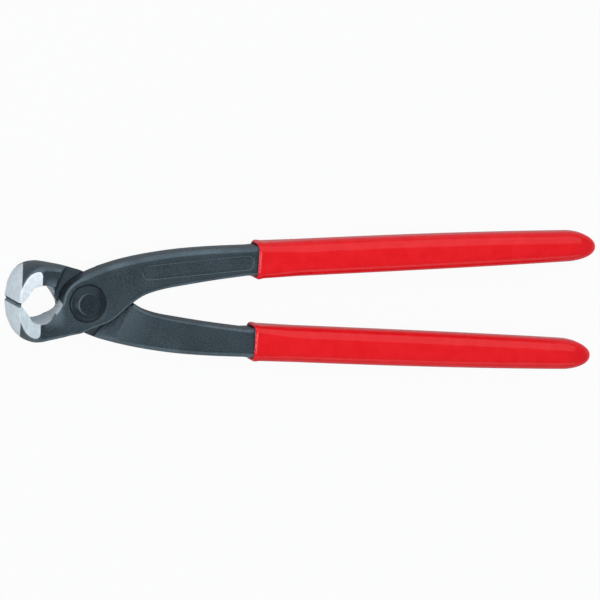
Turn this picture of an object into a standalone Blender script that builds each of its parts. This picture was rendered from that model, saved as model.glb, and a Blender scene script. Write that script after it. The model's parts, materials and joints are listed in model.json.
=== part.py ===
"""Concreters nippers: two forged levers, one big rivet and two dipped grips.

The tool lies flat. +X runs from the jaws to the handles, +Y to the upper handle and +Z out of
the front face. Shapes are drawn about the pivot, which an empty puts in its place. The front
lever has its jaw at -Y and its handle at +Y. The back lever is the same forging turned over.
"""

import math
from dataclasses import dataclass, replace

import bmesh
import bpy
from mathutils import Vector

# Reaches from the pivot along the tool
JAW_REACH = 0.0270
HANDLE_REACH = 0.1930

# Jaws
JAW_HEIGHT = 0.0147
JAW_HALF_DEPTH = 0.0090
JAW_BACK_RADIUS = 0.0092
JAW_CROWN = 0.0011
MOUTH_RADIUS = 0.0070
MOUTH_CENTRE_X = -0.0180
EDGE_GAP = 0.00030
EDGE_BEVEL = 0.0008
EDGE_ROUND = 0.00006
JAW_ROUND = 0.0008
NECK_BULGE = 0.0005
WEDGE_THROAT = (0.0022, -0.0024)
WEDGE_BACK_Y = -0.0034
ROOT_THROAT = (0.0036, -0.0043)

# Lap joint
BOSS_RADIUS = 0.0097
BOSS_HALF_THICKNESS = 0.00575
BOSS_ROUND = 0.0009
LAP_GAP = 0.00030
NEST_CLEARANCE = 0.00040
SHOULDER_GAP_INNER = 0.00135
SHOULDER_GAP_OUTER = 0.0031
SHOULDER_RUN = 0.0037
SHOULDER_RISE = 0.0072
SHOULDER_ANGLE_INNER = 201.2
SHOULDER_ANGLE_OUTER = 232.6
NEST_BEFORE_NECK = 0.0045
NEST_KNEE = 0.0022
NEST_PAST_CROTCH = 0.0008
OPENING_ANGLE = math.radians(35.0)
OPENING_MARGIN = math.radians(2.0)
FORGING_DRAFT = math.tan(math.radians(5.0))

# Rivet
RIVET_SHANK_RADIUS = 0.0040
RIVET_HEAD_RADIUS = 0.0066
RIVET_FLAT_RADIUS = 0.0039
RIVET_RIM = 0.0006
RIVET_CROWN = 0.0015
RIVET_SOFTENING = 0.00025
COUNTERBORE_DEPTH = 0.0008
FIT_GAP = 0.00030

# Grips
GRIP_START_X = 0.0638
GRIP_WALL = 0.00080
GRIP_RIM_BULGE = 0.00030
GRIP_RIM_LENGTH = 0.0016
GRIP_NOSE = 0.0110
GRIP_NOSE_ANGLES = (15.0, 30.0, 44.0, 57.0, 69.0, 79.0, 86.5)
GRIP_HALF_WIDTH = 0.00655
GRIP_SLIMMING = 0.00135

# Shank and tang
SHANK_BEFORE_GRIP = 0.0035
SHANK_END_X = GRIP_START_X - SHANK_BEFORE_GRIP
HANDLE_START_Y = 0.01487
HANDLE_RISE = 0.0060
HANDLE_SAG = 0.00075
SHANK_HALF_THICKNESS = 0.0050
SHANK_ROUND_OUTER = 0.0020
SHANK_ROUND_INNER = 0.0012
TANG_HALF_THICKNESS = 0.0047
TANG_ROUND = 0.0034
TANG_ROUNDING_RUN = 0.0200

# Panel on the front lever's shank
PANEL_LENGTH = 0.0420
PANEL_WIDTH = 0.0051
PANEL_DEPTH = 0.00035
PANEL_END_GAP = 0.0015
PANEL_ANGLE = math.radians(5.5)

# Smoothness
CORNER_STEPS = 4
SPAN_STEPS = 4
HANDLE_STEPS = 8
ROUND_SEGMENTS = 64
CUTTER_REACH = 0.0120
LAP_REACH = 0.0240

# How far the heel stands out past the boss, and where round the pivot, neck to crotch
HEEL_SPREAD = (
    (0.00164, 262.9), (0.00017, 280.5), (0.00031, 301.3), (0.0017, 322.1),
    (0.00328, 337.6), (0.00513, 349.9), (0.0079, 359.3))

# Colours as linear RGB
BLACK_FINISH = (0.047, 0.065, 0.078, 1.0)
RIVET_FINISH = (0.036, 0.050, 0.061, 1.0)
RED_GRIP = (0.791, 0.017, 0.023, 1.0)


@dataclass(frozen=True)
class Section:
    """One cut through a lever: where its two sides lie, how thick it is and how round."""

    throat: Vector
    heel: Vector
    front: float
    back: float
    throat_round: float
    heel_round: float
    draft: float = 1.0
    crown: float = 0.0


def clear_scene():
    """Removes every object, so the script can be run again."""
    for obj in list(bpy.data.objects):
        bpy.data.objects.remove(obj, do_unlink=True)
    for group in list(bpy.data.collections):
        bpy.data.collections.remove(group)


def make_material(name, colour, roughness, metallic):
    """A plain Principled material."""
    material = bpy.data.materials.new(name)
    material.use_nodes = True
    shader = material.node_tree.nodes["Principled BSDF"]
    shader.inputs["Base Color"].default_value = colour
    shader.inputs["Roughness"].default_value = roughness
    shader.inputs["Metallic"].default_value = metallic
    material.diffuse_color = colour
    return material


def polar(centre_x, centre_y, radius, degrees):
    """A point on a circle."""
    angle = math.radians(degrees)
    return Vector((centre_x + radius * math.cos(angle), centre_y + radius * math.sin(angle)))


def turned(point, angle):
    """A plan point swung about the pivot."""
    cos, sin = math.cos(angle), math.sin(angle)
    return Vector((point.x * cos - point.y * sin, point.x * sin + point.y * cos))


def mouth_point(degrees):
    """A point on the round mouth between the jaws."""
    return polar(MOUTH_CENTRE_X, 0.0, MOUTH_RADIUS, degrees)


def jaw_back_point(degrees):
    """A point on the round back of the lower jaw, halfway through its depth."""
    return polar(-JAW_REACH + JAW_BACK_RADIUS, -JAW_HEIGHT + JAW_BACK_RADIUS, JAW_BACK_RADIUS, degrees)


def boss_point(degrees):
    """A point on the round boss about the pivot."""
    return polar(0.0, 0.0, BOSS_RADIUS, degrees)


def heel_point(spread, degrees):
    """A point on the heel, which spreads from the boss circle into the neck and crotch."""
    return polar(0.0, 0.0, BOSS_RADIUS + spread, degrees)


def between(start, end, share):
    """A point part of the way from one point to another."""
    return start + (end - start) * share


def jaw_sections():
    """Sections from the cutting edge round the claw to the neck."""
    edge_y = -EDGE_GAP / 2.0
    depth = JAW_HALF_DEPTH
    tip = Section(
        Vector((-JAW_REACH + EDGE_BEVEL, edge_y)),
        Vector((-JAW_REACH + 0.8 * EDGE_BEVEL, edge_y)),
        depth, -depth, EDGE_ROUND, EDGE_ROUND, 0.0)
    bevel = replace(
        tip,
        throat=tip.throat + Vector((0.9 * EDGE_BEVEL, -EDGE_BEVEL)),
        heel=tip.heel - Vector((0.8 * EDGE_BEVEL, EDGE_BEVEL)))
    wedge = replace(
        tip,
        throat=tip.throat + Vector(WEDGE_THROAT),
        heel=Vector((-JAW_REACH, WEDGE_BACK_Y)),
        heel_round=0.3 * JAW_ROUND,
        crown=0.3 * JAW_CROWN)
    root = replace(
        tip,
        throat=tip.throat + Vector(ROOT_THROAT),
        heel=jaw_back_point(184.0),
        heel_round=0.5 * JAW_ROUND,
        crown=0.6 * JAW_CROWN)
    sections = [tip, bevel, wedge, root]
    for throat_angle, heel_angle, rounding, crown in (
            (238.0, 206.0, 0.8, 1.0), (250.0, 228.0, 1.0, 1.0),
            (259.0, 248.0, 1.5, 0.95), (266.0, 264.0, 2.5, 0.8)):
        sections.append(Section(
            mouth_point(throat_angle), jaw_back_point(heel_angle),
            depth, -depth, EDGE_ROUND, JAW_ROUND * rounding, 0.0, JAW_CROWN * crown))
    return sections


def neck_sections():
    """Sections from the jaw's side slope through the neck."""
    step = JAW_HALF_DEPTH - BOSS_HALF_THICKNESS
    last_back = jaw_back_point(292.0)
    first_heel = heel_point(*HEEL_SPREAD[0])
    last_mouth = mouth_point(332.0)
    height = BOSS_HALF_THICKNESS + 0.76 * step
    sections = [Section(
        mouth_point(283.0), jaw_back_point(279.0), height, -height,
        0.5 * BOSS_ROUND, 2.4 * JAW_ROUND, 0.1, 0.7 * JAW_CROWN)]
    for throat, along, share, draft, rounding, crown in (
            (mouth_point(310.0), 0.16, 0.38, 0.3, 2.1, 0.75),
            (last_mouth, 0.43, 0.14, 0.6, 1.7, 0.5),
            (between(last_mouth, boss_point(176.0), 0.5), 0.72, 0.02, 1.0, 1.4, 0.25)):
        bulge = Vector((0.0, -NECK_BULGE * math.sin(math.pi * along ** 0.6)))
        heel = between(last_back, first_heel, along) + bulge
        height = BOSS_HALF_THICKNESS + share * step
        sections.append(Section(
            throat, heel, height, -height, BOSS_ROUND, rounding * JAW_ROUND, draft,
            crown * JAW_CROWN))
    return sections


def boss_sections():
    """Sections across the round boss, whose other side is the heel."""
    height = BOSS_HALF_THICKNESS
    return [
        Section(boss_point(angle), heel_point(*spread), height, -0.35 * height, BOSS_ROUND, BOSS_ROUND)
        for angle, spread in zip((176.0, 157.0, 137.0, 117.0), HEEL_SPREAD)]


def shank_sections():
    """Sections from the boss past the crotch to the grip, with the rising back face.

    The outer side is given as shares of the way from the boss to the shank's end. The inner
    side follows the heel to the crotch, and then shares of the way from there.
    """
    half_width = grip_half_width(SHANK_END_X) - GRIP_WALL - FIT_GAP
    middle = Vector((SHANK_END_X, grip_line(SHANK_END_X)))
    outer_start, outer_end = boss_point(117.0), middle + Vector((0.0, half_width))
    inner_start, inner_end = heel_point(*HEEL_SPREAD[-1]), middle - Vector((0.0, half_width))
    outer_shares = (
        (0.050, 0.171), (0.138, 0.371), (0.239, 0.530), (0.356, 0.671),
        (0.488, 0.794), (0.635, 0.893), (0.814, 0.962), (1.0, 1.0))
    inner_shares = ((0.104, 0.285), (0.257, 0.495), (0.453, 0.652), (0.717, 0.837), (1.0, 1.0))
    outer = [
        Vector((between(outer_start.x, outer_end.x, along), between(outer_start.y, outer_end.y, up)))
        for along, up in outer_shares]
    inner = [heel_point(*spread) for spread in HEEL_SPREAD[4:]]
    inner += [
        Vector((between(inner_start.x, inner_end.x, along), between(inner_start.y, inner_end.y, up)))
        for along, up in inner_shares]
    front_shares = (0.93, 0.73, 0.40, 0.0, 0.0, 0.0, 0.0, 0.0)
    back_shares = (0.12, 0.18, 0.66, 0.88, 0.96, 1.0, 1.0, 1.0)
    thin = SHANK_HALF_THICKNESS
    return [
        Section(high, low, between(thin, BOSS_HALF_THICKNESS, front), -thin * back,
                SHANK_ROUND_OUTER, SHANK_ROUND_INNER)
        for high, low, front, back in zip(outer, inner, front_shares, back_shares)]


def grip_line(x):
    """Height of a handle's centre line over the tool's axis, past the bare shank."""
    run = (x - SHANK_END_X) / (HANDLE_REACH - SHANK_END_X)
    return HANDLE_START_Y + HANDLE_RISE * run - HANDLE_SAG * run * run


def grip_half_width(x):
    """Half width of a grip, widest at its mouth and slimmer towards its end."""
    run = (x - SHANK_END_X) / (HANDLE_REACH - SHANK_END_X)
    return GRIP_HALF_WIDTH - GRIP_SLIMMING * run ** 3


def handle_section(x, share, grow):
    """One section of the tang, or of a skin round it that lies this far outside it."""
    half_width = (grip_half_width(x) - GRIP_WALL - FIT_GAP + grow) * share
    half_depth = (TANG_HALF_THICKNESS + grow) * share
    rounder = min(1.0, (x - SHANK_END_X) / TANG_ROUNDING_RUN)
    outer_round = SHANK_ROUND_OUTER + (TANG_ROUND - SHANK_ROUND_OUTER) * rounder
    inner_round = SHANK_ROUND_INNER + (TANG_ROUND - SHANK_ROUND_INNER) * rounder
    line = grip_line(x)
    return Section(
        Vector((x, line + half_width)), Vector((x, line - half_width)), half_depth, -half_depth,
        (outer_round + grow) * share, (inner_round + grow) * share, 0.0)


def handle_sections(start_x, grow):
    """Sections along a handle from a given place to its round nose."""
    nose_start = HANDLE_REACH - GRIP_NOSE
    nose_end = HANDLE_REACH - GRIP_WALL - FIT_GAP + grow
    run = nose_start - start_x
    sections = []
    for step in range(HANDLE_STEPS + 1):
        sections.append(handle_section(start_x + run * (step / HANDLE_STEPS) ** 1.3, 1.0, grow))
    for degrees in GRIP_NOSE_ANGLES:
        angle = math.radians(degrees)
        x = nose_start + (nose_end - nose_start) * math.sin(angle)
        sections.append(handle_section(x, math.cos(angle), grow))
    return sections


def blend(sections, steps):
    """Puts smooth in-between sections into a row of sections."""
    def mix(values, t):
        before, start, end, after = values
        return 0.5 * (2.0 * start + (end - before) * t
                      + (2.0 * before - 5.0 * start + 4.0 * end - after) * t * t
                      + (3.0 * start - before - 3.0 * end + after) * t * t * t)

    def mix_level(values, t):
        low, high = sorted(values[1:3])
        return min(max(mix(values, t), low), high)

    rows = []
    last = len(sections) - 1
    for i in range(last):
        group = [sections[max(i - 1, 0)], sections[i], sections[i + 1], sections[min(i + 2, last)]]
        for step in range(steps):
            t = step / steps
            rows.append(Section(
                mix([s.throat for s in group], t), mix([s.heel for s in group], t),
                mix_level([s.front for s in group], t), mix_level([s.back for s in group], t),
                mix_level([s.throat_round for s in group], t),
                mix_level([s.heel_round for s in group], t),
                mix_level([s.draft for s in group], t), mix_level([s.crown for s in group], t)))
    rows.append(sections[last])
    return rows


def lever_sections():
    """Every section of a lever, from its cutting edge to the end of its tang."""
    jaw = jaw_sections()
    edge = jaw[:3]
    claw = jaw[3:] + neck_sections() + boss_sections() + shank_sections()
    return edge + blend(claw, SPAN_STEPS) + handle_sections(GRIP_START_X, 0.0)


def side_normals(points, side):
    """Unit normals of a row of plan points, to the left (+1) or right (-1) of its run."""
    normals = []
    for i in range(len(points)):
        run = points[min(i + 1, len(points) - 1)] - points[max(i - 1, 0)]
        run.normalize()
        normals.append(Vector((-run.y, run.x)) * side)
    return normals


def corner(point, normal, height, rounding, draft, crown=None):
    """Points of one rounded edge, from the side wall to the face it meets.

    A crowned wall starts with a point halfway up, because it curves away from its middle.
    """
    sign = 1.0 if height > 0.0 else -1.0
    full = abs(height)
    radius = min(rounding, 0.8 * full)
    wall = full - radius
    lean = draft * FORGING_DRAFT * wall
    places = []
    if crown is not None:
        places.append((lean / 2.0 + crown / 4.0, wall / 2.0))
        lean += crown
    for step in range(CORNER_STEPS + 1):
        angle = math.pi / 2.0 * step / CORNER_STEPS
        places.append((lean + radius * (1.0 - math.cos(angle)), wall + radius * math.sin(angle)))
    return [(point - normal * inset).to_3d() + Vector((0.0, 0.0, sign * z)) for inset, z in places]


def ring(section, throat_normal, heel_normal):
    """The closed outline of one section."""
    throat = (section.throat, throat_normal)
    heel = (section.heel, heel_normal)
    draft, crown = section.draft, section.crown
    front_throat = corner(*throat, section.front, section.throat_round, draft)
    front_heel = corner(*heel, section.front, section.heel_round, draft, crown)
    back_throat = corner(*throat, section.back, section.throat_round, draft)
    back_heel = corner(*heel, section.back, section.heel_round, draft, crown)
    return ([section.throat.to_3d()] + front_throat + front_heel[::-1]
            + [section.heel.to_3d()] + back_heel + back_throat[::-1])


def lever_rings(sections):
    """The outlines of a lever, whose sides round off square to their run in plan."""
    throats = side_normals([s.throat for s in sections], 1.0)
    heels = side_normals([s.heel for s in sections], -1.0)
    return [ring(s, t, h) for s, t, h in zip(sections, throats, heels)]


def handle_rings(sections):
    """The outlines of a handle or grip, cut square to the tool's axis."""
    up = Vector((0.0, 1.0))
    return [ring(s, up, -up) for s in sections]


def loft(name, rings):
    """A closed mesh through a row of outlines, capped at both ends."""
    shape = bmesh.new()
    loops = [[shape.verts.new(point) for point in outline] for outline in rings]
    for lower, upper in zip(loops, loops[1:]):
        count = len(lower)
        for i in range(count):
            shape.faces.new((lower[i], lower[(i + 1) % count], upper[(i + 1) % count], upper[i]))
    shape.faces.new(loops[0][::-1])
    shape.faces.new(loops[-1])
    bmesh.ops.recalc_face_normals(shape, faces=shape.faces)
    mesh = bpy.data.meshes.new(name)
    shape.to_mesh(mesh)
    shape.free()
    return mesh


def prism(name, low, high, low_z, high_z):
    """A closed solid between two outlines with as many points, at two heights."""
    bottom = [Vector((p.x, p.y, low_z)) for p in low]
    top = [Vector((p.x, p.y, high_z)) for p in high]
    return loft(name, [bottom, top])


def add_object(name, mesh, group, parent):
    """Links a mesh to a collection under a parent."""
    obj = bpy.data.objects.new(name, mesh)
    group.objects.link(obj)
    obj.parent = parent
    return obj


def add_cutter(name, mesh, group, parent):
    """A cutter that shows as wire only."""
    cutter = add_object(name, mesh, group, parent)
    cutter.hide_render = True
    cutter.display_type = "WIRE"
    return cutter


def cut(obj, cutter):
    """Takes a cutter out of an object."""
    step = obj.modifiers.new("cut_" + cutter.name, "BOOLEAN")
    step.operation = "DIFFERENCE"
    step.solver = "EXACT"
    step.object = cutter


def smooth_shade(mesh, degrees):
    """Shades a mesh smooth, with its sharp edges kept."""
    mesh.shade_smooth()
    mesh.set_sharp_from_angle(angle=math.radians(degrees))


def lap_outline(sections, toe_shift):
    """Plan of what a lap recess takes away behind the lower jaw's lever.

    Its jaw side is the shoulder, its handle side nests round the other lever's heel, and the
    stretch between clears the other jaw's neck when the tool is open.
    """
    far_toe = heel_point(SHOULDER_GAP_OUTER, SHOULDER_ANGLE_OUTER)
    near_toe = heel_point(SHOULDER_GAP_INNER, SHOULDER_ANGLE_INNER)
    shoulder = [between(far_toe, near_toe, share) + toe_shift for share in (-1.9, 0.0, 1.0, 2.1)]
    first, last = heel_point(*HEEL_SPREAD[0]), heel_point(*HEEL_SPREAD[-1])
    neck_x, knee_x = first.x - NEST_BEFORE_NECK, first.x + NEST_KNEE
    other = [
        Vector((s.heel.x, -s.heel.y)) for s in sections
        if neck_x < s.heel.x < last.x + NEST_PAST_CROTCH and s.heel.y < -last.y + NEST_PAST_CROTCH]
    nest = [p + n * NEST_CLEARANCE for p, n in zip(other, side_normals(other, 1.0))]
    swing = -(OPENING_ANGLE + OPENING_MARGIN)
    neck = [turned(p, swing) for p in nest if p.x < knee_x]
    corner_point = neck[-1]
    wall = [p for p in nest if p.length > corner_point.length and p.x > corner_point.x]
    far = [polar(0.0, 0.0, LAP_REACH, 129.0), polar(0.0, 0.0, LAP_REACH, 95.0), neck[0] * 1.5]
    tail = [polar(0.0, 0.0, LAP_REACH, -12.0), polar(0.0, 0.0, 1.2 * LAP_REACH, -50.0)]
    return shoulder + far + neck + wall + tail


def lap_cutter(name, sections, group, parent):
    """The recess behind the front lever's half of the lap joint, with its sloped shoulder."""
    slope = Vector((-SHOULDER_RUN, 0.0)) * (CUTTER_REACH / SHOULDER_RISE)
    high = lap_outline(sections, Vector((0.0, 0.0)))
    low = lap_outline(sections, slope)
    mesh = prism(name, low, high, -CUTTER_REACH, LAP_GAP / 2.0)
    return add_cutter(name, mesh, group, parent)


def stadium(length, width, steps):
    """Outline of a bar with round ends, about its middle."""
    radius = width / 2.0
    half = length / 2.0 - radius
    points = []
    for end, start in ((half, -90.0), (-half, 90.0)):
        for step in range(steps + 1):
            points.append(polar(end, 0.0, radius, start + 180.0 * step / steps))
    return points


def panel_cutter(name, sections, group, parent):
    """The shallow panel on the front lever's shank, short of the grip and along its middle."""
    outline = stadium(PANEL_LENGTH, PANEL_WIDTH, 10)
    mesh = prism(name, outline, outline, -PANEL_DEPTH, CUTTER_REACH)
    centre_x = GRIP_START_X - PANEL_END_GAP - PANEL_LENGTH / 2.0 * math.cos(PANEL_ANGLE)
    middles = [between(s.throat, s.heel, 0.5) for s in sections]
    nearest = min(middles, key=lambda point: abs(point.x - centre_x))
    centre_y = nearest.y + (centre_x - nearest.x) * math.tan(PANEL_ANGLE)
    cutter = add_cutter(name, mesh, group, parent)
    cutter.location = (centre_x, centre_y, SHANK_HALF_THICKNESS)
    cutter.rotation_euler = (0.0, 0.0, PANEL_ANGLE)
    return cutter


def bore_cutter(name, group, parent):
    """Rivet hole with a shallow counterbore on the front face, as one turned solid."""
    bore = RIVET_SHANK_RADIUS + FIT_GAP
    recess = RIVET_HEAD_RADIUS + FIT_GAP
    floor = BOSS_HALF_THICKNESS - COUNTERBORE_DEPTH
    top = BOSS_HALF_THICKNESS + CUTTER_REACH
    bottom = -CUTTER_REACH
    profile = ((0.0, top), (recess, top), (recess, floor), (bore, floor), (bore, bottom), (0.0, bottom))
    return turned_solid(name, profile, group, parent, cutter=True)


def turned_solid(name, profile, group, parent, cutter=False):
    """A solid of revolution about Z from radius and height pairs, top to bottom."""
    mesh = bpy.data.meshes.new(name)
    points = [(radius, 0.0, height) for radius, height in profile]
    edges = [(i, i + 1) for i in range(len(points) - 1)]
    mesh.from_pydata(points, edges, [])
    make = add_cutter if cutter else add_object
    obj = make(name, mesh, group, parent)
    screw = obj.modifiers.new("turn", "SCREW")
    screw.axis = "Z"
    screw.angle = 2.0 * math.pi
    screw.steps = ROUND_SEGMENTS
    screw.render_steps = ROUND_SEGMENTS
    screw.use_merge_vertices = True
    screw.merge_threshold = 0.00001
    screw.use_smooth_shade = not cutter
    return obj


def make_lever(name, sections, group, parent, cutters, material):
    """One forged lever with its lap recess and rivet hole."""
    plain = [s for s in sections if s.throat.x <= SHANK_END_X]
    tang = [s for s in sections if s.throat.x > SHANK_END_X]
    mesh = loft(name, lever_rings(plain) + handle_rings(tang))
    smooth_shade(mesh, 35.0)
    lever = add_object(name, mesh, group, parent)
    lever.data.materials.append(material)
    for cutter in cutters:
        cut(lever, cutter)
    return lever


def rivet_profile():
    """Half outline of the rivet, from the crown of one head to that of the other."""
    seat = BOSS_HALF_THICKNESS - COUNTERBORE_DEPTH + FIT_GAP
    rim = seat + RIVET_RIM
    crown = rim + RIVET_CROWN
    head = [
        (0.0, crown),
        (RIVET_FLAT_RADIUS - RIVET_SOFTENING, crown),
        (RIVET_FLAT_RADIUS + RIVET_SOFTENING, crown - 0.7 * RIVET_SOFTENING),
        (RIVET_HEAD_RADIUS - RIVET_SOFTENING, rim + 0.6 * RIVET_SOFTENING),
        (RIVET_HEAD_RADIUS, rim - 0.4 * RIVET_SOFTENING),
        (RIVET_HEAD_RADIUS, seat),
        (RIVET_SHANK_RADIUS, seat)]
    tail = [(radius, -height) for radius, height in reversed(head)]
    return head + tail


def rim_bulge(x):
    """How far a grip's rolled rim stands proud at this distance from the mouth."""
    along = (x - GRIP_START_X) / GRIP_RIM_LENGTH
    if along >= 1.0:
        return 0.0
    return GRIP_RIM_BULGE * math.cos(math.pi / 2.0 * along) ** 2


def make_grip(name, group, parent, material):
    """A dipped grip: one skin from its nose over the rolled rim and down the inside."""
    rim = [GRIP_START_X + GRIP_RIM_LENGTH * step / 3.0 for step in range(3)]
    body_x = GRIP_START_X + GRIP_RIM_LENGTH
    wall = FIT_GAP + GRIP_WALL
    outer = [handle_section(x, 1.0, wall + rim_bulge(x)) for x in rim]
    outer += handle_sections(body_x, wall)
    inner = [handle_section(x, 1.0, FIT_GAP) for x in rim]
    inner += handle_sections(body_x, FIT_GAP)
    lip_x = GRIP_START_X - 0.35 * GRIP_WALL
    lip = [handle_section(lip_x, 1.0, FIT_GAP + 0.55 * GRIP_WALL)]
    mesh = loft(name, handle_rings(outer[::-1] + lip + inner))
    smooth_shade(mesh, 50.0)
    grip = add_object(name, mesh, group, parent)
    grip.data.materials.append(material)
    return grip


def main():
    """Builds the tool."""
    clear_scene()
    parts = bpy.data.collections.new("concreters_nippers")
    tools = bpy.data.collections.new("cutters")
    bpy.context.scene.collection.children.link(parts)
    bpy.context.scene.collection.children.link(tools)

    pivot = bpy.data.objects.new("pivot", None)
    parts.objects.link(pivot)
    pivot.location = ((JAW_REACH - HANDLE_REACH) / 2.0, 0.0, JAW_HALF_DEPTH)
    turned_over = bpy.data.objects.new("pivot_turned_over", None)
    parts.objects.link(turned_over)
    turned_over.parent = pivot
    turned_over.rotation_euler = (math.pi, 0.0, 0.0)

    finish = make_material("black_finish", BLACK_FINISH, 0.45, 0.6)
    rivet_finish = make_material("rivet_finish", RIVET_FINISH, 0.35, 0.6)
    red = make_material("red_grip", RED_GRIP, 0.25, 0.0)

    sections = lever_sections()
    for side, parent in (("front", pivot), ("back", turned_over)):
        cutters = [
            lap_cutter(side + "_lap_cutter", sections, tools, parent),
            bore_cutter(side + "_bore_cutter", tools, parent)]
        if side == "front":
            cutters.append(panel_cutter("panel_cutter", sections, tools, parent))
        make_lever(side + "_lever", sections, parts, parent, cutters, finish)
        make_grip(side + "_grip", parts, parent, red)

    rivet = turned_solid("joint_rivet", rivet_profile(), parts, pivot)
    rivet.data.materials.append(rivet_finish)


main()
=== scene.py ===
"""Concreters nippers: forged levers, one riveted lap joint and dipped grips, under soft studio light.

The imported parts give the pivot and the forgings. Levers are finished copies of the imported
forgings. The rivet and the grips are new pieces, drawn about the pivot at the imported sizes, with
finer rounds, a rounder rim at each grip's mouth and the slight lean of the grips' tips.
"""

import json
import logging
import math
from dataclasses import dataclass, field, replace
from enum import Enum

import bmesh
import bpy
from mathutils import Matrix, Vector


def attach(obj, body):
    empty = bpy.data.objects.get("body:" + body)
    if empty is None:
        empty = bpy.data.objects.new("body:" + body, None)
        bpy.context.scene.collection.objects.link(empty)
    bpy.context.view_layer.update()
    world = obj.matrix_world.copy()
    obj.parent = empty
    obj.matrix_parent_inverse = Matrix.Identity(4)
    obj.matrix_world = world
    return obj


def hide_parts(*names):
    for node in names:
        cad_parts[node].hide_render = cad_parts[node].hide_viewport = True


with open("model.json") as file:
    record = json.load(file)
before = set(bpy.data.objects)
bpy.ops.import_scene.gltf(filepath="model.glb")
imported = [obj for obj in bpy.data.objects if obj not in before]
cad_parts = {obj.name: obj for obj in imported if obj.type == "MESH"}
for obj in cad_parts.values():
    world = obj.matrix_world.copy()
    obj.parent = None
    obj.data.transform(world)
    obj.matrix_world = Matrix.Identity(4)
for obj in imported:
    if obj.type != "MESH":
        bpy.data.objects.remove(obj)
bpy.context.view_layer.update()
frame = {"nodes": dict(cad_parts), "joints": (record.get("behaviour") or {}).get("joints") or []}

LOG = logging.getLogger("nippers")
# Pale edge marks: partly rubbing, partly a painted highlight along rounded edges.
WEAR_AND_HIGHLIGHT_LAYER = "edge_wear_and_highlight"
Socket = bpy.types.NodeSocket
Colour = tuple[float, float, float]
Place = tuple[float, float, float]
Value = Socket | float | Colour


class Body(Enum):
    """The two rigid bodies that the rivet joins."""

    FRONT = "front_lever"
    BACK = "back_lever"

    @property
    def turned_over(self) -> bool:
        """True for the lever whose forging lies turned over about the tool's long axis."""
        return self is Body.BACK

    @property
    def grip(self) -> str:
        """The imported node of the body's grip."""
        return "back_grip" if self.turned_over else "front_grip"


class Effect(Enum):
    """The shared shader node groups, by name."""

    GRINDING = "jaw_grinding"
    GRAIN = "forging_grain"
    STREAKS = "grinding_streaks"
    PANEL = "panel_line"


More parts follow.
